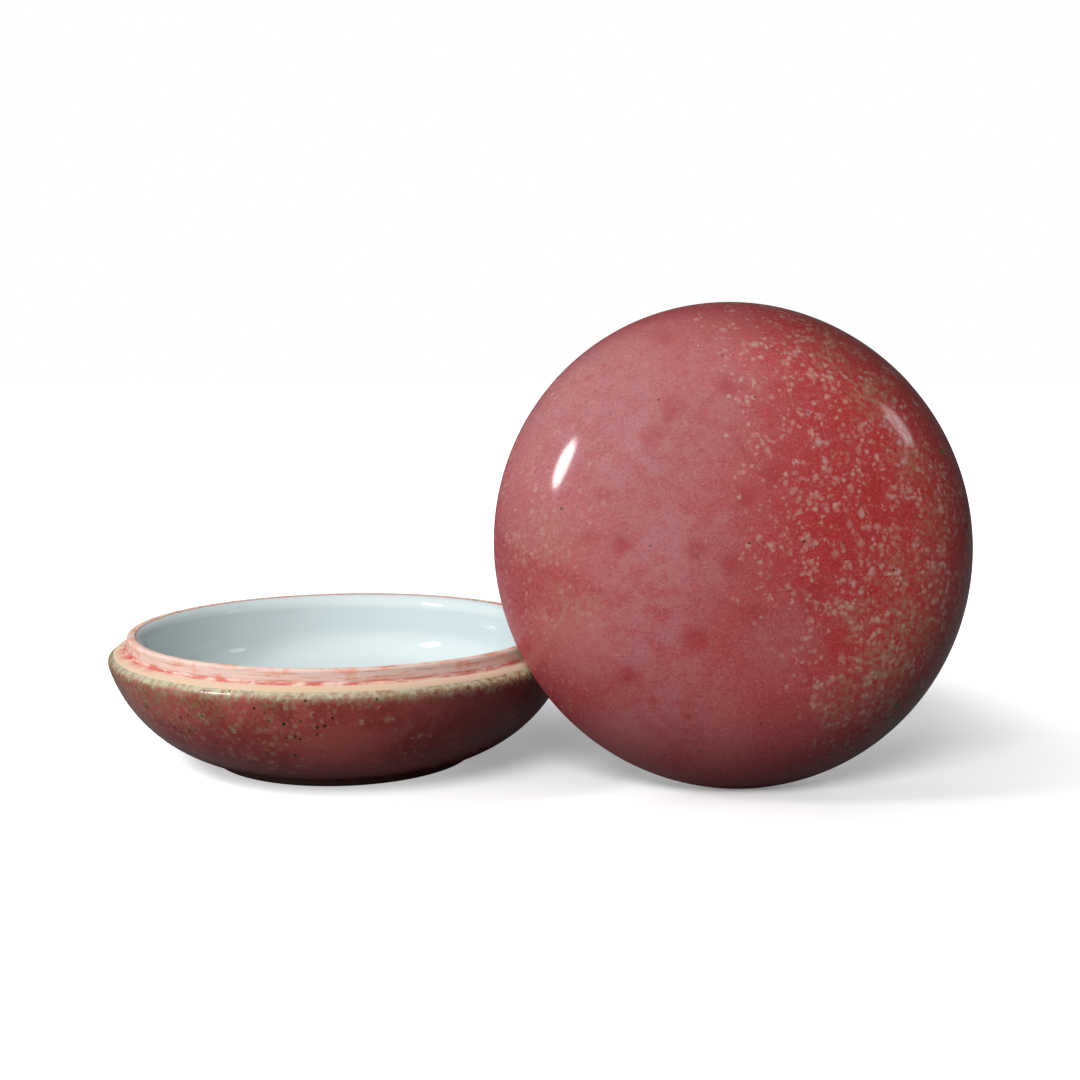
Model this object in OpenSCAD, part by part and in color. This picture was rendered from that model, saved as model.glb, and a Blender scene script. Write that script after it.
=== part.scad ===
// Porcelain seal paste box: a low round base with a lip, and a domed cover.
// The cover is off, and stands on its edge at the base's right, crown to the front.
// Millimetres. X right, Y back, Z up, origin on the table under the base's centre.
// Each piece is a thrown and turned porcelain body with its fired glaze coats.

/* [Box] */
// Outer radius of base and cover at their widest, over the glaze
outer_r = 36; // [30:0.5:48]
// Height of the base from the table to the seam
base_h = 18.1; // [16:0.1:24]
// Height of the cover from the seam to its crown, over the glaze
cover_h = 19.4; // [17:0.1:26]
// Radius of the rounded edge above and below the seam
edge_r = 2; // [1.2:0.1:2.4]
// Slope of the wall from upright where the rounded edge runs into the belly
shoulder_angle = 17; // [10:1:26]
// Radius of the flat curve over the cover's crown
crown_curve = 85; // [60:1:160]

/* [Seam] */
// Width of the cover's flat rim between its rounded edge and the socket's chamfer
rim_flat = 0.2; // [0.1:0.05:1]
// Chamfer at the mouth of the cover's socket
mouth_chamfer = 0.3; // [0.1:0.05:0.6]
// Height of the lip above the seam
lip_h = 2.2; // [1.6:0.1:4]
// Radius of the lip's outer edge at the crest
crest_r = 0.5; // [0.2:0.05:0.6]
// Width of the crest between the lip's rounded edges
crest_flat = 0.1; // [0.1:0.05:1]
// Radius of the lip's broad inner edge, over the lining
mouth_r = 2.4; // [1:0.1:3]
// Clearance all round between the lip and the cover's socket
socket_gap = 0.3; // [0.1:0.05:0.4]
// Clearance over the lip inside the cover's socket
socket_play = 0.4; // [0.2:0.1:1.2]
// Width of the ledge inside the cover's socket
socket_ledge = 2; // [1:0.1:4]
// How far the coloured glaze reaches round the edge, from the widest point
glaze_line = 42; // [30:1:65]

/* [Walls] */
// Thickness of the coloured glaze outside
coat_t = 0.35; // [0.2:0.05:0.5]
// Thickness of the clear glaze inside and under the foot
lining_t = 0.3; // [0.2:0.05:0.5]
// How far the well's lining reaches round the lip's inner edge, from upright
lining_line = 70; // [30:1:80]
// Thickness of the base's floor, glaze on both sides
floor_t = 2.8; // [2:0.1:4]
// Thickness of the cover's crown, glaze on both sides
top_t = 3.1; // [2.4:0.1:4]
// Depth of straight wall below the seam inside the base
base_wall = 3.4; // [1:0.1:5]
// Depth of straight wall above the socket inside the cover
cover_wall = 0.8; // [0.5:0.1:2.4]
// Radius of the hollow curve across the base's floor
floor_curve = 70; // [50:5:200]

/* [Foot] */
// Outer radius of the foot ring
foot_r = 20.5; // [16:0.5:23]
// Width of the foot ring
foot_w = 2.6; // [1.8:0.1:4]
// Height of the foot ring outside, up to the glaze
foot_h = 0.9; // [0.6:0.1:1.4]
// Depth of the glazed recess inside the foot ring
recess_h = 1.2; // [0.9:0.1:2]
// Radius of the foot ring's rounded edges
foot_edge = 0.5; // [0.2:0.05:0.55]
// Radius of the hollow corner between recess and ring, behind its glaze
foot_cove = 0.9; // [0.6:0.05:1.1]

/* [Standing cover] */
// How far the cover stands in front of the base's centre
stand_front = 14.5; // [0:0.5:24]
// Turn of the cover's crown to the right of straight ahead
stand_turn = 6.4; // [0:0.2:14]
// Lean of the cover back from upright
stand_lean = 11.1; // [0:0.1:16]
// Gap between the standing cover and the base
stand_gap = 0.35; // [0.3:0.05:3]

/* [Hidden] */
$fn = 96;

ring_r = outer_r - edge_r;
socket_r = ring_r - rim_flat - mouth_chamfer;
socket_h = lip_h + socket_play;
hollow_r = socket_r - socket_ledge;
lip_r = socket_r - socket_gap;
well_r = lip_r - crest_r - crest_flat - mouth_r;
crest_z = base_h + lip_h;
edge_drop = edge_r - coat_t;

// Points of an arc round c, from angle a to angle b
function arc(c, r, a, b, steps) =
    [for (i = [0:steps]) let (t = a + (b - a) * i / steps) c + r * [cos(t), sin(t)]];

// The same outline walked the other way
function back(pts) = [for (i = [len(pts) - 1:-1:0]) pts[i]];

// Radius of the arc that starts at p with its centre along n,
// and runs smoothly into the circle of radius kr about k, or through k where kr is 0
function run_r(p, n, k, kr = 0) =
    let (q = p - k) (kr * kr - q * q) / (2 * (q * n + kr));

// Direction from one centre to another, as an angle
function heading(from, to) = atan2(to[1] - from[1], to[0] - from[0]);

// Base, outside: rounded edge, then a belly that runs down to the foot ring
base_edge_c = [ring_r, base_h - edge_drop];
base_out = [cos(shoulder_angle), -sin(shoulder_angle)];
base_shoulder = base_edge_c + edge_r * base_out;
belly_r = run_r(base_shoulder, -base_out, [foot_r, foot_h]);
belly_c = base_shoulder - belly_r * base_out;
function base_skin(depth) = concat(
    arc(base_edge_c, edge_r - depth, glaze_line, 0, 8),
    arc(base_edge_c, edge_r - depth, 0, -shoulder_angle, 3),
    arc(belly_c, belly_r - depth, -shoulder_angle,
        -acos((foot_r - belly_c[0]) / (belly_r - depth)), 30));

// Base, inside: the lip's broad edge, straight wall, a cove, and the hollow curve of the floor
mouth_c = [well_r + mouth_r, crest_z - mouth_r];
well_z = recess_h + floor_t;
floor_c = [0, well_z + floor_curve];
base_cove_z = base_h - base_wall;
base_cove_r = run_r([well_r, base_cove_z], [-1, 0], floor_c, floor_curve);
base_cove_c = [well_r - base_cove_r, base_cove_z];
base_cove_end = heading(floor_c, base_cove_c);
function base_well(depth) = concat(
    arc(mouth_c, mouth_r - depth, 180 - lining_line, 180, 12),
    arc(base_cove_c, base_cove_r + depth, 0, base_cove_end, 20),
    arc(floor_c, floor_curve + depth, base_cove_end, -90, 8));

// Foot: the recess under the base, from the middle out to the ring
recess_r = foot_r - foot_w;
recess_top = recess_h + lining_t;
foot_cove_c = [recess_r - foot_cove, recess_top - foot_cove];
function foot_recess(depth) = concat(
    [[0, recess_top - depth]],
    arc(foot_cove_c, foot_cove - depth, 90, 0, 8));

// Cover, outside: rounded edge, belly and crown, with the seam at height 0
cover_edge_c = [ring_r, edge_drop];
cover_out = [cos(shoulder_angle), sin(shoulder_angle)];
cover_shoulder = cover_edge_c + edge_r * cover_out;
crown_c = [0, cover_h - crown_curve];
dome_r = run_r(cover_shoulder, -cover_out, crown_c, crown_curve);
dome_c = cover_shoulder - dome_r * cover_out;
dome_end = heading(crown_c, dome_c);
function cover_skin(depth) = concat(
    arc(cover_edge_c, edge_r - depth, -glaze_line, 0, 8),
    arc(cover_edge_c, edge_r - depth, 0, shoulder_angle, 3),
    arc(dome_c, dome_r - depth, shoulder_angle, dome_end, 30),
    arc(crown_c, crown_curve - depth, dome_end, 90, 12));

// Cover, inside: straight wall, a cove, and a ceiling that follows the crown
ceiling_curve = crown_curve - top_t;
cover_cove_z = socket_h + cover_wall;
cover_cove_r = run_r([hollow_r, cover_cove_z], [-1, 0], crown_c, ceiling_curve);
cover_cove_c = [hollow_r - cover_cove_r, cover_cove_z];
cover_cove_end = heading(crown_c, cover_cove_c);
function cover_well(depth) = concat(
    [[hollow_r + depth, socket_h]],
    arc(cover_cove_c, cover_cove_r + depth, 0, cover_cove_end, 20),
    arc(crown_c, ceiling_curve + depth, cover_cove_end, 90, 10));

// The standing cover leans on its rounded edge. It is moved right until that edge
// is stand_gap clear of the base's own edge, found by halving.
stand_h = ring_r * cos(stand_lean) + edge_r;
ring_right = [cos(stand_turn), sin(stand_turn), 0];
ring_up = [-sin(stand_turn) * sin(stand_lean), cos(stand_turn) * sin(stand_lean),
           cos(stand_lean)];
function edge_gap(x) =
    min([for (t = [180:1:300])
        let (p = [x, -stand_front, stand_h] + ring_r * (cos(t) * ring_right + sin(t) * ring_up))
        norm([norm([p[0], p[1]]) - ring_r, p[2] - base_edge_c[1]])]) - 2 * edge_r;
function clear_x(near, far, halvings) =
    halvings == 0 ? far :
    let (middle = (near + far) / 2)
    edge_gap(middle) < stand_gap ? clear_x(middle, far, halvings - 1)
                                 : clear_x(near, middle, halvings - 1);
stand_x = clear_x(outer_r, 3 * outer_r, 24);

// Half outlines of the seven solids
function base_body_outline() = concat(
    foot_recess(0),
    arc([recess_r + foot_edge, foot_edge], foot_edge, 180, 270, 5),
    arc([foot_r - foot_edge, foot_edge], foot_edge, 270, 360, 5),
    back(base_skin(coat_t)),
    arc(base_edge_c, edge_drop, glaze_line, 90, 8),
    [[lip_r, base_h]],
    arc([lip_r - crest_r, crest_z - crest_r], crest_r, 0, 90, 6),
    base_well(lining_t));

function cover_body_outline() = concat(
    arc(cover_edge_c, edge_drop, -90, -glaze_line, 8),
    cover_skin(coat_t),
    back(cover_well(lining_t)),
    [[socket_r, socket_h], [socket_r, mouth_chamfer], [socket_r + mouth_chamfer, 0]]);

module turned(outline) {
    rotate_extrude() polygon(outline);
}

module standing() {
    translate([stand_x, -stand_front, stand_h])
        rotate([90 - stand_lean, 0, stand_turn])
            translate([0, 0, -edge_drop])
                children();
}

// Bare porcelain body of the base, with ledge, lip and foot ring
module base_body() {
    color([0.93, 0.84, 0.76]) turned(base_body_outline());
}

// Coloured coat outside the base, from the ledge to the foot ring
module base_peach_glaze() {
    color([0.58, 0.31, 0.30]) turned(concat(base_skin(0), back(base_skin(coat_t))));
}

// Clear bluish lining of the paste well
module base_lining_glaze() {
    color([0.87, 0.91, 0.91]) turned(concat(base_well(0), back(base_well(lining_t))));
}

// Clear glaze in the recess under the foot
module base_foot_glaze() {
    color([0.87, 0.91, 0.91]) turned(concat(foot_recess(0), back(foot_recess(lining_t))));
}

// Bare porcelain body of the cover, with the socket that takes the lip
module cover_body() {
    color([0.93, 0.84, 0.76]) standing() turned(cover_body_outline());
}

// Coloured coat over the cover's dome, down round its edge
module cover_peach_glaze() {
    color([0.66, 0.33, 0.34]) standing()
        turned(concat(cover_skin(0), back(cover_skin(coat_t))));
}

// Clear bluish lining of the cover's hollow
module cover_lining_glaze() {
    color([0.87, 0.91, 0.91]) standing()
        turned(concat(cover_well(0), back(cover_well(lining_t))));
}

base_body();
base_peach_glaze();
base_lining_glaze();
base_foot_glaze();
cover_body();
cover_peach_glaze();
cover_lining_glaze();
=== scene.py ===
"""Porcelain seal paste box with a mottled peach glaze: the base open on the table,
the domed cover off it and standing on its edge."""

import math

import bpy
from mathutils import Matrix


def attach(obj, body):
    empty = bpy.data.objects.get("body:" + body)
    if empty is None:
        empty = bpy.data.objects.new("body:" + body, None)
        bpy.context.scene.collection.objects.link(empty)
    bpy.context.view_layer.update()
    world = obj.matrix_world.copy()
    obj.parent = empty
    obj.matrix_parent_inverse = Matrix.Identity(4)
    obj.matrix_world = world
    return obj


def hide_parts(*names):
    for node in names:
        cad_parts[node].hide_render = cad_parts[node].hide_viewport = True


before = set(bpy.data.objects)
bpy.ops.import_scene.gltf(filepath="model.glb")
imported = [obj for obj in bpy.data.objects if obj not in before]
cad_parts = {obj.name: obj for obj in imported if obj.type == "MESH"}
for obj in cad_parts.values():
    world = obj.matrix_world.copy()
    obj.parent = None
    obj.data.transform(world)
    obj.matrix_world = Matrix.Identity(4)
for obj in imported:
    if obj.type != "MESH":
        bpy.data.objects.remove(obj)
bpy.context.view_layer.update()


# Base, porcelain body

# One bowl of white porcelain, thrown, then turned with a foot ring, a ledge and an
# upright lip. It is bare on the foot, the ledge and the lip, where seal paste has
# stained it in rings. Sizes are in millimetres and degrees.

EDGE_R = 2.0         # rounding of the widest edge, over the coat
RING_R = 34.0        # axis to that rounding's centre
BASE_H = 18.1        # table to ledge
COAT = 0.35          # thickness of the coloured glaze
LINING = 0.3         # thickness of the clear glaze
EDGE_DROP = EDGE_R - COAT
GLAZE_LINE = 42      # where the coat ends, round the edge from level
GLAZE_FULL = 8       # where the coat has its full thickness
SHOULDER = 17        # where the edge runs into the belly, and into the dome
LIP_R = 33.2
LIP_COVE = 0.5
CREST_Z = 20.3
CREST_R = 0.5
MOUTH_R = 2.4        # rounding from the crest down into the well
LINING_LINE = 70     # where the lining ends, on that rounding
LINING_FULL = 30     # where the lining has its full thickness
WELL_R = 30.2
WELL_Z = 4.0         # table to the middle of the well's floor
WELL_WALL_Z = 14.7   # foot of the well's upright wall
FLOOR_CURVE = 70.0
FOOT_R = 20.5
FOOT_W = 2.6
FOOT_H = 0.9
FOOT_EDGE = 0.5
FOOT_COVE = 0.9
RECESS_TOP = 1.5
WHEEL_STEPS = 256
CREASE = 32          # sharper folds than this are shaded as edges


def on_circle(centre, radius, turn):
    """A point of a circle in the (radius, height) plane."""
    return (centre[0] + radius * math.cos(math.radians(turn)),
            centre[1] + radius * math.sin(math.radians(turn)))


def arc(centre, radius, start, end, steps):
    """Points of an arc, from start to end."""
    return [on_circle(centre, radius, start + (end - start) * i / steps)
            for i in range(steps + 1)]


def thinned(centre, radius, change, start, end, steps):
    """An arc whose radius gives way to radius + change, softly, from start to end."""
    points = []
    for i in range(steps + 1):
        share = i / steps
        soft = share * share * (3 - 2 * share)
        points.append(on_circle(centre, radius + change * soft, start + (end - start) * share))
    return points


def moved(point, way, by):
    """A point moved along a direction."""
    return (point[0] + by * way[0], point[1] + by * way[1])


def heading(start, end):
    """Direction from start to end, in degrees."""
    return math.degrees(math.atan2(end[1] - start[1], end[0] - start[0]))


def run_radius(start, inward, centre, radius=0.0):
    """Radius of the arc that leaves start with its centre along inward and runs
    smoothly into a circle, or through a point where that circle has no radius."""
    across = (start[0] - centre[0], start[1] - centre[1])
    apart = across[0] ** 2 + across[1] ** 2
    along = across[0] * inward[0] + across[1] * inward[1]
    return (radius ** 2 - apart) / (2 * (along + radius))


def turn_on_wheel(name, outline):
    """A closed half outline, drawn point by point and spun round the wheel's axis."""
    bpy.ops.object.select_all(action="DESELECT")
    bpy.ops.mesh.primitive_plane_add(size=0.001, location=(0, 0, 0))
    piece = bpy.context.object
    piece.name = piece.data.name = name
    bpy.ops.object.mode_set(mode="EDIT")
    bpy.ops.mesh.select_all(action="SELECT")
    bpy.ops.mesh.merge(type="CENTER")
    path = [(r / 1000, z / 1000) for r, z in outline]
    bpy.ops.transform.translate(value=(path[0][0], 0, path[0][1]))
    for here, there in zip(path, path[1:] + path[:1]):
        step = (there[0] - here[0], 0, there[1] - here[1])
        bpy.ops.mesh.extrude_region_move(TRANSFORM_OT_translate={"value": step})
    bpy.ops.mesh.select_all(action="SELECT")
    bpy.ops.mesh.remove_doubles(threshold=1e-6)
    bpy.ops.mesh.spin(steps=WHEEL_STEPS, angle=math.tau, center=(0, 0, 0), axis=(0, 0, 1))
    bpy.ops.mesh.select_all(action="SELECT")
    bpy.ops.mesh.remove_doubles(threshold=1e-6)
    bpy.ops.mesh.normals_make_consistent(inside=False)
    bpy.ops.object.mode_set(mode="OBJECT")
    bpy.ops.object.shade_smooth_by_angle(angle=math.radians(CREASE))
    return piece


base_edge = (RING_R, BASE_H - EDGE_DROP)
base_out = (math.cos(math.radians(SHOULDER)), -math.sin(math.radians(SHOULDER)))
base_in = (-base_out[0], -base_out[1])
base_shoulder = moved(base_edge, base_out, EDGE_R)
belly_r = run_radius(base_shoulder, base_in, (FOOT_R, FOOT_H))
belly = moved(base_shoulder, base_in, belly_r)


def base_skin(depth):
    """Outside of the base from the glaze line down to the foot, depth under the glaze.
    The glaze runs out to nothing at its line."""
    foot_turn = math.degrees(math.acos((FOOT_R - belly[0]) / (belly_r - depth)))
    return (thinned(base_edge, EDGE_DROP, COAT - depth, GLAZE_LINE, GLAZE_FULL, 12)
            + arc(base_edge, EDGE_R - depth, GLAZE_FULL, -SHOULDER, 10)[1:]
            + arc(belly, belly_r - depth, -SHOULDER, -foot_turn, 40)[1:])


mouth = (WELL_R + MOUTH_R, CREST_Z - MOUTH_R)
floor_centre = (0.0, WELL_Z + FLOOR_CURVE)
well_cove_r = run_radius((WELL_R, WELL_WALL_Z), (-1, 0), floor_centre, FLOOR_CURVE)
well_cove = (WELL_R - well_cove_r, WELL_WALL_Z)
well_cove_end = heading(floor_centre, well_cove)


def base_well(depth):
    """Inside of the base from the lining's edge to the middle, depth under the glaze."""
    return (thinned(mouth, MOUTH_R, -depth, 180 - LINING_LINE, 180 - LINING_FULL, 10)
            + arc(mouth, MOUTH_R - depth, 180 - LINING_FULL, 180, 12)[1:]
            + arc(well_cove, well_cove_r + depth, 0, well_cove_end, 30)
            + arc(floor_centre, FLOOR_CURVE + depth, well_cove_end, -90, 16)[1:])


def foot_recess(depth):
    """Recess under the foot, from the middle out to the ring, depth under the glaze."""
    corner = (FOOT_R - FOOT_W - FOOT_COVE, RECESS_TOP - FOOT_COVE)
    return [(0.0, RECESS_TOP - depth)] + arc(corner, FOOT_COVE - depth, 90, 0, 10)


base_outline = (
    foot_recess(0)
    + arc((FOOT_R - FOOT_W + FOOT_EDGE, FOOT_EDGE), FOOT_EDGE, 180, 270, 6)
    + arc((FOOT_R - FOOT_EDGE, FOOT_EDGE), FOOT_EDGE, 270, 360, 6)
    + base_skin(COAT)[::-1]
    + arc(base_edge, EDGE_DROP, GLAZE_LINE, 90, 8)
    + arc((LIP_R + LIP_COVE, BASE_H + LIP_COVE), LIP_COVE, 270, 180, 6)
    + arc((LIP_R - CREST_R, CREST_Z - CREST_R), CREST_R, 0, 90, 8)
    + arc(mouth, MOUTH_R, 90, 180 - LINING_LINE, 8)
    + base_well(LINING))
base_porcelain = turn_on_wheel("base_porcelain", base_outline)


def patch(tree, kind, inputs, out=0, **settings):
    """Adds a shader node, sets or links its inputs, and returns one output."""
    node = tree.nodes.new("ShaderNode" + kind)
    for name, value in settings.items():
        setattr(node, name, value)
    for socket, value in inputs.items():
        if isinstance(value, bpy.types.NodeSocket):
            tree.links.new(value, node.inputs[socket])
        else:
            node.inputs[socket].default_value = value
    return node.outputs[out]


def millimetres(tree, centre=(0, 0, 0), turn=(0, 0, 0)):
    """Object coordinates in millimetres, centred and turned with the piece."""
    here = patch(tree, "TexCoord", {}, "Object")
    return patch(tree, "Mapping", {"Vector": here, "Location": centre, "Rotation": turn,
                                   "Scale": (0.001,) * 3}, vector_type="TEXTURE")


def stretched(tree, place, scale, shift=(0, 0, 0)):
    """place scaled along each axis, then shifted."""
    return patch(tree, "Mapping", {"Vector": place, "Scale": scale, "Location": shift})


def flat(tree, place):
    """place without its height along the piece's axis."""
    return stretched(tree, place, (1, 1, 0))


def from_axis(tree, place):
    """Distance from the piece's axis."""
    return patch(tree, "VectorMath", {0: flat(tree, place)}, "Value", operation="LENGTH")


def measures(tree, place):
    """The three measures of place, each by itself."""
    return patch(tree, "SeparateXYZ", {"Vector": place}).node.outputs


def cloud(tree, place, size, detail=2.0, rough=0.5):
    """Soft noise, about 0.5 on average, with blotches of the given size."""
    return patch(tree, "TexNoise", {"Vector": place, "Scale": 1 / size, "Detail": detail,
                                    "Roughness": rough})


def sums(tree, operation, a, b):
    """One step of arithmetic."""
    return patch(tree, "Math", {0: a, 1: b}, operation=operation)


def both(tree, first, *more):
    """How far all the shares hold at once."""
    for share in more:
        first = sums(tree, "MULTIPLY", first, share)
    return first


def ramp(tree, value, low, high, bottom=0.0, top=1.0):
    """bottom up to low, top from high, and a smooth run between."""
    return patch(tree, "MapRange", {"Value": value, "From Min": low, "From Max": high,
                                    "To Min": bottom, "To Max": top},
                 interpolation_type="SMOOTHSTEP")


def colour(red, green, blue):
    """A colour as it is read off a swatch, 0 to 255, in the light values that shaders use."""
    return tuple((v / 255 / 12.92 if v < 10.31 else ((v / 255 + 0.055) / 1.055) ** 2.4)
                 for v in (red, green, blue)) + (1.0,)


def over(tree, under, on_top, share):
    """on_top laid over under, as far as share says."""
    return patch(tree, "Mix", {0: share, 6: under, 7: on_top}, 2, data_type="RGBA")


def laid_on(tree, ground, *layers):
    """ground with each layer over the one before. A layer is a swatch, the share of the
    surface that it covers, and how strongly, where that isn't wholly."""
    finish = colour(*ground)
    for swatch, share, *strength in layers:
        finish = over(tree, finish, colour(*swatch), both(tree, share, *strength))
    return finish


def shader(name):
    """A new material, its nodes and its surface shader."""
    material = bpy.data.materials.new(name)
    material.use_nodes = True
    return material, material.node_tree, material.node_tree.nodes["Principled BSDF"]


def fired(tree, face, finish, rough, relief, strength, depth):
    """Gives a surface its colour, its roughness and a fine relief, depth millimetres deep."""
    tree.links.new(finish, face.inputs["Base Color"])
    face.inputs["Roughness"].default_value = rough
    bump = patch(tree, "Bump", {"Strength": strength, "Distance": depth / 1000,
                                "Height": relief})
    tree.links.new(bump, face.inputs["Normal"])


def wear_finish(piece, material):
    """Covers a piece with one finish."""
    piece.data.materials.clear()
    piece.data.materials.append(material)


biscuit, clay, face = shader("stained_biscuit")
place = millimetres(clay)
across, _, height = measures(clay, place)
radius = from_axis(clay, place)
streaks = cloud(clay, stretched(clay, place, (0.16, 0.16, 2.6)), 1.0, 4, 0.6)
dabs = cloud(clay, stretched(clay, place, (0.28, 0.28, 1.6), (7, 3, 0)), 1.0, 5, 0.65)
blotches = cloud(clay, stretched(clay, place, (0.5, 0.5, 1.1)), 1.3, 4, 0.6)


def ring(none_r, full_r, none_z, full_z):
    """A soft ring round the axis, which fades in from one radius and height to another."""
    return both(clay, ramp(clay, radius, none_r, full_r), ramp(clay, height, none_z, full_z))


on_edge = ring(RING_R, RING_R + 1.0, BASE_H + 0.2, BASE_H - 0.1)
on_lip = ring(LIP_R + 0.7, LIP_R + 0.1, BASE_H, BASE_H + 0.3)
inner_line = ring(LIP_R - 1.15, LIP_R - 1.3, CREST_Z - 1.1, CREST_Z - 0.7)
smear = both(clay, ring(RING_R + 1.2, RING_R - 0.2, BASE_H + 0.3, BASE_H),
             ramp(clay, across, -14, -30), ramp(clay, blotches, 0.42, 0.6))
corner = both(clay, ring(LIP_R + 0.8, LIP_R + 0.2, BASE_H + 0.8, BASE_H + 0.2),
              ramp(clay, height, BASE_H - 0.2, BASE_H - 0.1), ramp(clay, dabs, 0.38, 0.58))
# Painted shade: the bare porcelain darkens close to the table.
painted_shade_foot = ramp(clay, sums(clay, "ADD", height, cloud(clay, place, 1.2, 3)), 2.4, 1.7)
skin = laid_on(
    clay, (214, 186, 162),
    ((222, 200, 180), cloud(clay, place, 3.0, 3)),
    ((212, 180, 150), on_edge, 0.7),
    ((226, 198, 188), on_lip, 0.9),
    ((224, 150, 118), both(clay, on_lip, ramp(clay, blotches, 0.48, 0.66)), 0.7),
    ((206, 112, 82), both(clay, on_lip, ramp(clay, streaks, 0.54, 0.66)), 0.6),
    ((150, 104, 80), inner_line, 0.8),
    ((206, 104, 92), smear, 0.7),
    ((186, 70, 60), corner, 0.85),
    # painted shade close to the table
    ((74, 36, 33), painted_shade_foot, 0.9))
fired(clay, face, skin, rough=0.62, relief=cloud(clay, place, 0.35, 3), strength=0.25, depth=0.04)
face.inputs["Specular IOR Level"].default_value = 0.3
wear_finish(base_porcelain, biscuit)
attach(base_porcelain, "base")
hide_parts("base_body")


# Base, peach glaze

# The coloured coat outside, from the ledge down to the foot ring. It is copper red under
# a clear glaze, blown on in layers, and it turns pale celadon where it runs thin.

base_coat = turn_on_wheel("base_coat", base_skin(0) + base_skin(COAT)[::-1])


def flecks(tree, place, cell, size, soft, share, shift=(0, 0, 0)):
    """Round specks up to size across, in that share of the cells of a loose grid. soft is
    the width of their edge. share may be a node's output."""
    spot = patch(tree, "TexVoronoi", {"Vector": stretched(tree, place, (1, 1, 1), shift),
                                      "Scale": 1 / cell}, "Distance")
    lots = patch(tree, "SeparateColor", {"Color": spot.node.outputs["Color"]}).node.outputs
    there = ramp(tree, sums(tree, "SUBTRACT", share, lots["Red"]), 0.0, 0.12)
    reach = ramp(tree, lots["Green"], 0.0, 1.0, 0.28 * size / cell, 0.6 * size / cell)
    inside = sums(tree, "SUBTRACT", both(tree, reach, there), spot)
    return both(tree, ramp(tree, inside, 0.0, soft / cell),
                ramp(tree, lots["Blue"], 0.0, 1.0, 0.55, 1.0))


def wandering(tree, place, size, reach):
    """place moved about by up to reach, so that what is laid on it gets a ragged outline."""
    noise = patch(tree, "TexNoise", {"Vector": place, "Scale": 1 / size, "Detail": 3.0},
                  "Color")
    middled = patch(tree, "VectorMath", {0: noise, 1: (0.5,) * 3}, operation="SUBTRACT")
    return patch(tree, "VectorMath", {0: middled, 1: (2 * reach,) * 3, 2: place},
                 operation="MULTIPLY_ADD")


glaze, tree, face = shader("peach_glaze_base")
place = millimetres(tree)
across, _, height = measures(tree, place)
broad = cloud(tree, place, 9.0, 3)
middle = cloud(tree, place, 2.2, 4, 0.6)
small = cloud(tree, place, 0.8, 4, 0.6)
grain = cloud(tree, place, 0.22, 2, 0.6)
drips = cloud(tree, stretched(tree, place, (1, 1, 0.3)), 0.9, 3, 0.6)

runny = sums(tree, "ADD", across, ramp(tree, broad, 0.2, 0.8, -14, 14))
thin = sums(tree, "ADD", height, ramp(tree, middle, 0.2, 0.8, -2.4, 2.0))
fringe = sums(tree, "ADD", height, ramp(tree, drips, 0.2, 0.8, -0.45, 0.45))
fringe = sums(tree, "ADD", fringe, ramp(tree, small, 0.2, 0.8, -0.8, 0.8))
# Painted shade: the coat darkens towards the foot and towards the right.
painted_shade_low = sums(tree, "MAXIMUM", ramp(tree, height, 9, 1, 0.0, 0.5),
            ramp(tree, across, 0, 28, 0.0, 0.75))
olive = both(tree, ramp(tree, thin, 10.0, 15.5), ramp(tree, runny, -2, -18),
             ramp(tree, small, 0.42, 0.62))
freckled = both(tree, ramp(tree, runny, 14, -4), ramp(tree, thin, 3.0, 9.0),
                ramp(tree, cloud(tree, place, 3.2, 2, 0.5), 0.32, 0.52))
tall = wandering(tree, stretched(tree, place, (1, 1, 0.75)), 1.0, 0.3)
pale = both(tree, freckled, 0.9)
dotted = both(tree, freckled, 0.8)
green = both(tree, flecks(tree, place, 2.2, 1.1, 0.5, 0.35, (5, 2, 8)),
             ramp(tree, fringe, 13.5, 16.0, 0, 0.6))
coat = laid_on(
    tree, (158, 58, 56),
    ((182, 84, 80), ramp(tree, broad, 0.38, 0.62)),
    ((196, 106, 98), ramp(tree, middle, 0.48, 0.75, 0, 0.6)),
    # painted shade towards the foot and the right
    ((92, 30, 32), painted_shade_low),
    ((112, 34, 36), ramp(tree, grain, 0.48, 0.72, 0, 0.45)),
    ((196, 124, 114), ramp(tree, grain, 0.46, 0.28, 0, 0.3)),
    ((134, 120, 74), olive, 0.8),
    ((176, 150, 122), flecks(tree, tall, 1.1, 1.2, 0.4, pale), 0.65),
    ((176, 150, 122), flecks(tree, tall, 0.8, 0.85, 0.4, pale, (6, 1, 3)), 0.65),
    ((150, 134, 104), ramp(tree, fringe, 15.4, 17.2, 0, 0.8)),
    ((190, 184, 154), ramp(tree, fringe, 16.5, 17.9, 0, 0.9)),
    ((98, 108, 56), green),
    ((96, 84, 48), flecks(tree, place, 1.2, 0.8, 0.25, dotted, (3, 1, 5)), 0.5),
    ((30, 22, 18), flecks(tree, place, 1.2, 0.5, 0.1, dotted, (3, 1, 5))),
    ((40, 24, 18), flecks(tree, place, 0.9, 0.32, 0.08, both(tree, dotted, 0.7), (8, 2, 6))))
fired(tree, face, coat, rough=0.12, relief=cloud(tree, place, 0.5, 3), strength=0.2, depth=0.03)
wear_finish(base_coat, glaze)
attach(base_coat, "base")
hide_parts("base_peach_glaze")


# Base, linings

# Clear glaze over white porcelain, faintly blue where it pools. It lines the paste well
# up to the lip, and the recess under the foot, each dipped or poured and wiped back.

clear, tree, face = shader("clear_lining")
place = millimetres(tree)
tint = laid_on(tree, (200, 212, 214), ((208, 218, 219), cloud(tree, place, 12, 2)))
fired(tree, face, tint, rough=0.06, relief=cloud(tree, place, 6, 2), strength=0.12, depth=0.1)

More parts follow.
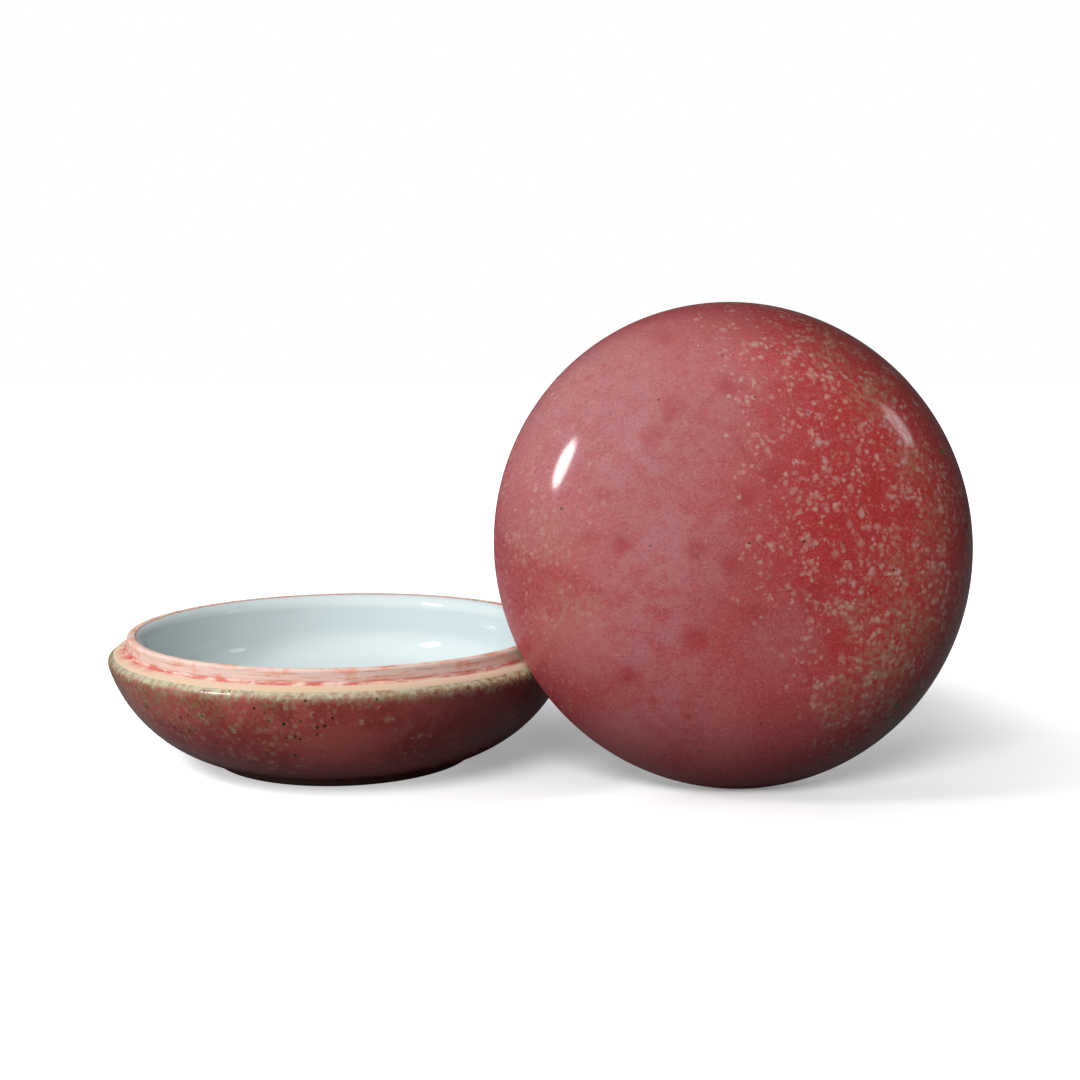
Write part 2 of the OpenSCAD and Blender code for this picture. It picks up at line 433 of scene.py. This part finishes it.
well_lining = turn_on_wheel("well_lining", base_well(0) + base_well(LINING)[::-1])
foot_lining = turn_on_wheel("foot_lining", foot_recess(0) + foot_recess(LINING)[::-1])
for lining, node in ((well_lining, "base_lining_glaze"), (foot_lining, "base_foot_glaze")):
    wear_finish(lining, clear)
    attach(lining, "base")
    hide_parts(node)


# Cover, porcelain body

# A thrown and turned dome of the same porcelain, with a socket in its rim that goes
# over the base's lip. It stands on its edge, leans back, and shows its crown.

COVER_H = 19.4
CROWN_CURVE = 85.0
TOP = 3.1            # thickness at the crown
SOCKET_R = 33.5
SOCKET_H = 2.6
MOUTH_CHAMFER = 0.3
HOLLOW_R = 31.5
COVER_WALL_Z = 3.4   # end of the hollow's upright wall, from the seam
STAND = (60.2235, -14.5, 35.364)    # where the middle of its edge's ring stands
LEAN = 11.1          # back from upright
TURN = 6.4           # round towards the right

cover_edge = (RING_R, EDGE_DROP)
cover_out = (math.cos(math.radians(SHOULDER)), math.sin(math.radians(SHOULDER)))
cover_in = (-cover_out[0], -cover_out[1])
cover_shoulder = moved(cover_edge, cover_out, EDGE_R)
crown = (0.0, COVER_H - CROWN_CURVE)
dome_r = run_radius(cover_shoulder, cover_in, crown, CROWN_CURVE)
dome = moved(cover_shoulder, cover_in, dome_r)
dome_end = heading(crown, dome)


def cover_skin(depth):
    """Outside of the cover from the glaze line up to the crown, depth under the glaze."""
    return (thinned(cover_edge, EDGE_DROP, COAT - depth, -GLAZE_LINE, -GLAZE_FULL, 12)
            + arc(cover_edge, EDGE_R - depth, -GLAZE_FULL, SHOULDER, 10)[1:]
            + arc(dome, dome_r - depth, SHOULDER, dome_end, 40)[1:]
            + arc(crown, CROWN_CURVE - depth, dome_end, 90, 14)[1:])


ceiling_curve = CROWN_CURVE - TOP
cover_cove_r = run_radius((HOLLOW_R, COVER_WALL_Z), (-1, 0), crown, ceiling_curve)
cover_cove = (HOLLOW_R - cover_cove_r, COVER_WALL_Z)
cover_cove_end = heading(crown, cover_cove)


def cover_well(depth):
    """Inside of the cover from the socket to the middle, depth under the glaze."""
    return ([(HOLLOW_R + depth, SOCKET_H)]
            + arc(cover_cove, cover_cove_r + depth, 0, cover_cove_end, 24)
            + arc(crown, ceiling_curve + depth, cover_cove_end, 90, 10))


lean, turn = math.radians(LEAN), math.radians(TURN)
seat_turn = (math.radians(90 - LEAN), 0, turn)
facing = (math.sin(turn) * math.cos(lean), -math.cos(turn) * math.cos(lean), math.sin(lean))
seat = tuple((stand - EDGE_DROP * way) / 1000 for stand, way in zip(STAND, facing))


def stand_up(piece):
    """Stands a piece of the cover, turned with its seam on the floor, on its edge."""
    bpy.ops.object.select_all(action="DESELECT")
    bpy.context.view_layer.objects.active = piece
    piece.select_set(True)
    piece.location = [v / 1000 for v in STAND]
    piece.rotation_euler = seat_turn
    bpy.ops.object.mode_set(mode="EDIT")
    bpy.ops.mesh.select_all(action="SELECT")
    bpy.ops.transform.translate(value=(0, 0, -EDGE_DROP / 1000), orient_type="LOCAL")
    bpy.ops.object.mode_set(mode="OBJECT")
    bpy.ops.object.transform_apply(location=True, rotation=True, scale=False)


cover_outline = (
    arc(cover_edge, EDGE_DROP, -90, -GLAZE_LINE, 8)
    + cover_skin(COAT)
    + cover_well(LINING)[::-1]
    + [(SOCKET_R, SOCKET_H), (SOCKET_R, MOUTH_CHAMFER), (SOCKET_R + MOUTH_CHAMFER, 0.0)])
cover_porcelain = turn_on_wheel("cover_porcelain", cover_outline)
stand_up(cover_porcelain)
wear_finish(cover_porcelain, biscuit)
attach(cover_porcelain, "cover")
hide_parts("cover_body")


# Cover, peach glaze

# The coat over the dome and round its edge, blown on like the base's. At the left a milky
# pink veil lies over the red, and at the right it is deep crimson, crowded with pale
# flecks and buff where the glaze is thick.

cover_coat = turn_on_wheel("cover_coat", cover_skin(0) + cover_skin(COAT)[::-1])
stand_up(cover_coat)

# Patches of the coat as (across, up, reach, share), seen from the front, from the
# middle of the dome: where it is thick and buff,
THICK_GLAZE = (
    (12, 26, 6, 0.8), (17, 20, 6, 0.9), (22, 10, 6, 0.6), (26, 2, 6, 0.7), (23, -5, 6, 0.5),
    (18, -6, 5, 0.7), (13, -11, 5, 0.6), (21, -13, 7, 0.9), (17, -19, 7, 1.0),
    (11, -24, 6, 0.8), (20, -24, 8, 1.0), (27, -14, 7, 0.7), (-26, -10, 7, 0.6),
    (-29, 0, 7, 0.35))
# where a milky pink lies over the red,
VEIL = (
    (-19, 14, 25, 1.0), (-14, -2, 16, 1.0), (-17, -12, 14, 1.0), (-13, -21, 12, 0.8),
    (1, -14, 9, 0.6), (-6, 20, 13, 0.8))
# where shade is painted over the upper left, where the red is paler, two green points,
PAINTED_SHADE_SPOTS = ((-26, 20, 26, 1.0), (-34, 2, 16, 0.8))
PALER = ((-26, -14, 9, 1.0), (-19, -28, 8, 1.0), (-5, -28, 7, 0.8))
MOSS = ((28.5, 12.3, 0.7, 1.0), (20.4, -24, 0.7, 1.0))
# and, without a share, where the copper red came through in a drop.
BLOTS = (
    (-15, 14, 2.4), (-12, 18, 2.8), (-22, 6, 2.0), (-20, -1, 2.4), (-5, -4, 2.8),
    (-10, -2, 2.6), (-24, 0, 1.8), (-10, -14, 2.8), (-19, -19, 2.4), (-3, 5, 2.2),
    (1, 8, 2.8), (-12, 29, 2.8), (-4, 21, 2.8), (-2, -11, 2.6), (6, -9, 2.8))


def spots(tree, place, rows):
    """The strongest, at each point, of round soft spots."""
    best = 0.0
    for across, up, reach, *share in rows:
        apart = patch(tree, "VectorMath", {0: place, 1: (across, up, 0)}, "Value",
                      operation="DISTANCE")
        spot = ramp(tree, apart, reach, reach * 0.1, 0.0, *share)
        best = sums(tree, "MAXIMUM", best, spot)
    return best


glaze, tree, face = shader("peach_glaze_cover")
place = millimetres(tree, seat, seat_turn)
ragged = flat(tree, wandering(tree, place, 4.0, 3.0))
bent = wandering(tree, place, 1.0, 0.35)
across, up, _ = measures(tree, wandering(tree, place, 8.0, 6.0))
middle = cloud(tree, place, 2.4, 4, 0.6)
small = cloud(tree, place, 0.9, 3, 0.6)
grain = cloud(tree, place, 0.35, 3, 0.75)

# The crimson side starts further right, the lower down.
lower = both(tree, sums(tree, "MAXIMUM", both(tree, up, -1.0), 2.0), 0.42)
right = sums(tree, "SUBTRACT", across, lower)
right = sums(tree, "ADD", right, ramp(tree, middle, 0.2, 0.8, -6, 6))
milky = both(tree, spots(tree, ragged, VEIL), ramp(tree, middle, 0.35, 0.6, 0.35, 1.0))
blots = both(tree, spots(tree, flat(tree, bent), BLOTS), ramp(tree, small, 0.3, 0.7, 0.5, 1.0))
drops = flecks(tree, place, 2.4, 1.9, 0.8,
               ramp(tree, cloud(tree, place, 7, 2), 0.35, 0.65, 0.0, 0.6), (11, 5, 2))
thick = spots(tree, ragged, THICK_GLAZE)
crowd = sums(tree, "MAXIMUM", ramp(tree, right, -12.0, 6.0, 0, 0.85), thick)
crowd = sums(tree, "MAXIMUM", crowd, ramp(tree, across, -20.0, -30.0, 0.05, 0.6))
crowd = both(tree, crowd, ramp(tree, cloud(tree, place, 3.2, 3, 0.6), 0.40, 0.56, 0.1, 1.0))
faint_left = ramp(tree, across, -22, -12, 0.45, 1.0)
pale = [both(tree, flecks(tree, bent, cell, size, soft, crowd, shift), faint_left)
        for cell, size, soft, shift in ((1.3, 1.5, 0.85, (0, 0, 0)),
                                        (0.95, 1.1, 0.55, (4, 9, 1)),
                                        (0.8, 0.85, 0.38, (2, 7, 5)))]
# Painted shade: the coat darkens towards its right edge, beyond what the lamps do.
painted_shade_edge = both(tree, ramp(tree, from_axis(tree, place), 23, 35),
                 ramp(tree, across, -34, 28, 0.0, 0.55))
coat = laid_on(
    tree, (172, 70, 74),
    ((176, 106, 110), milky),
    # painted shade over the upper left
    ((150, 88, 92), spots(tree, ragged, PAINTED_SHADE_SPOTS), 0.5),
    ((174, 52, 50), ramp(tree, right, -4.0, 8.0), 0.9),
    ((196, 108, 108), ramp(tree, small, 0.52, 0.72, 0, 0.3)),
    ((200, 128, 130), ramp(tree, grain, 0.53, 0.68, 0, 0.4)),
    ((130, 34, 38), ramp(tree, grain, 0.47, 0.32, 0, 0.45)),
    ((156, 44, 48), blots, 0.75),
    ((152, 38, 42), drops, 0.55),
    ((156, 122, 96), both(tree, thick, ramp(tree, small, 0.38, 0.62)), 0.8),
    *(((194, 156, 146), share, 0.78) for share in pale),
    ((34, 18, 16), flecks(tree, place, 1.9, 0.42, 0.08, 0.4, (3, 1, 5)), 0.9),
    ((206, 136, 136), spots(tree, ragged, PALER), 0.25),
    # painted shade towards the right edge
    ((48, 14, 16), painted_shade_edge),
    ((44, 92, 52), spots(tree, flat(tree, place), MOSS)))
fired(tree, face, coat, rough=0.12, relief=cloud(tree, place, 0.5, 3), strength=0.2, depth=0.03)
wear_finish(cover_coat, glaze)
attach(cover_coat, "cover")
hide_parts("cover_peach_glaze")


# Cover, lining

# The same clear glaze as in the well, over the whole hollow. It ends at the socket,
# which is bare so that it doesn't stick to the lip.

cover_lining = turn_on_wheel("cover_lining", cover_well(0) + cover_well(LINING)[::-1])
stand_up(cover_lining)
wear_finish(cover_lining, clear)
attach(cover_lining, "cover")
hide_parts("cover_lining_glaze")


# Studio

# A white table in a surround that the camera sees white, and the glaze mirrors pale at the
# upper left and dim at the right. Two small lamps leave the highlights. Two broad ones,
# which don't show in the glaze, light the front and the back. Places are in metres.

SHADOW_MIDDLE = (0.072, 0.005, 0)
PALE_SIDE = (-0.60, -0.35, 0.72)
BOX_MIDDLE = (0.035, -0.005, 0.02)
CAMERA_PLACE = (0.03117, -0.23423, 0.06312)
CAMERA_DOWN = 7.096    # degrees below level


def studio_rays(tree):
    """1 for rays that see the surround itself or through something, 1 for mirrored ones."""
    ray = patch(tree, "LightPath", {}).node.outputs
    seen = sums(tree, "MAXIMUM", ray["Is Camera Ray"], ray["Is Transmission Ray"])
    return seen, ray["Is Glossy Ray"]


bpy.ops.object.select_all(action="DESELECT")
bpy.ops.mesh.primitive_circle_add(vertices=96, radius=3.0, fill_type="NGON", location=(0, 0, 0))
table = bpy.context.object
table.name = "table"
white, tree, face = shader("white_table")
seen, _ = studio_rays(tree)
table_white = over(tree, (0.16, 0.16, 0.16, 1), (0.98, 0.98, 0.98, 1), seen)
tree.links.new(table_white, face.inputs["Base Color"])
face.inputs["Roughness"].default_value = 0.8
face.inputs["Specular IOR Level"].default_value = 0.0
# Painted light: for the camera the table glows, least within 30 mm of SHADOW_MIDDLE, so shadows
# stay dark there and are lifted further out.
away = patch(tree, "VectorMath", {0: millimetres(tree, SHADOW_MIDDLE)}, "Value",
             operation="LENGTH")
glow = sums(tree, "ADD", ramp(tree, away, 30, 75, 0.17, 0.5),
            ramp(tree, away, 100, 200, 0.0, 0.5))
glow = patch(tree, "Emission", {"Color": (1, 1, 1, 1), "Strength": both(tree, seen, glow)})
tree.links.new(patch(tree, "AddShader", {0: face.outputs[0], 1: glow}),
               tree.nodes["Material Output"].inputs["Surface"])
wear_finish(table, white)

world = bpy.data.worlds.new("studio")
bpy.context.scene.world = world
world.use_nodes = True
tree = world.node_tree
seen, mirrored = studio_rays(tree)
way = patch(tree, "TexCoord", {}, "Generated")
side = patch(tree, "VectorMath", {0: way, 1: PALE_SIDE}, "Value", operation="DOT_PRODUCT")
wall = both(tree, ramp(tree, side, 0.05, 1.0, 0.07, 1.3),
            sums(tree, "ADD", both(tree, mirrored, 0.6), 0.4))
background = tree.nodes["Background"]
background.inputs["Color"].default_value = (1, 1, 1, 1)
tree.links.new(sums(tree, "MAXIMUM", wall, seen), background.inputs["Strength"])


def softbox(name, azimuth, elevation, distance, size, level):
    """A lamp in the direction of azimuth, from the front round to the right. level is the
    brightness of a white card that faces it."""
    az, el = math.radians(azimuth), math.radians(elevation)
    way = (math.sin(az) * math.cos(el), -math.cos(az) * math.cos(el), math.sin(el))
    bpy.ops.object.light_add(type="AREA", rotation=(math.radians(90) - el, 0, az),
                             location=[m + distance * w for m, w in zip(BOX_MIDDLE, way)])
    lamp = bpy.context.object
    lamp.name = name
    lamp.data.shape = "ELLIPSE"
    lamp.data.size, lamp.data.size_y = size
    lamp.data.energy = level * (math.pi * distance) ** 2
    return lamp


softbox("key_left", -68, 36, 0.30, (0.05, 0.09), 0.30)
softbox("fill_right", 88, 33, 0.5, (0.10, 0.10), 0.032)
softbox("front", -17, 38, 0.9, (0.5, 0.4), 0.68).visible_glossy = False
softbox("back", 165, 24, 0.9, (0.6, 0.4), 0.16).visible_glossy = False

bpy.ops.object.camera_add(location=CAMERA_PLACE,
                          rotation=(math.radians(90 - CAMERA_DOWN), 0, 0))
camera = bpy.context.object
camera.data.lens = 50
camera.data.sensor_width = 36
camera.data.clip_start = 0.01
bpy.context.scene.camera = camera
bpy.context.scene.view_settings.view_transform = "Standard"
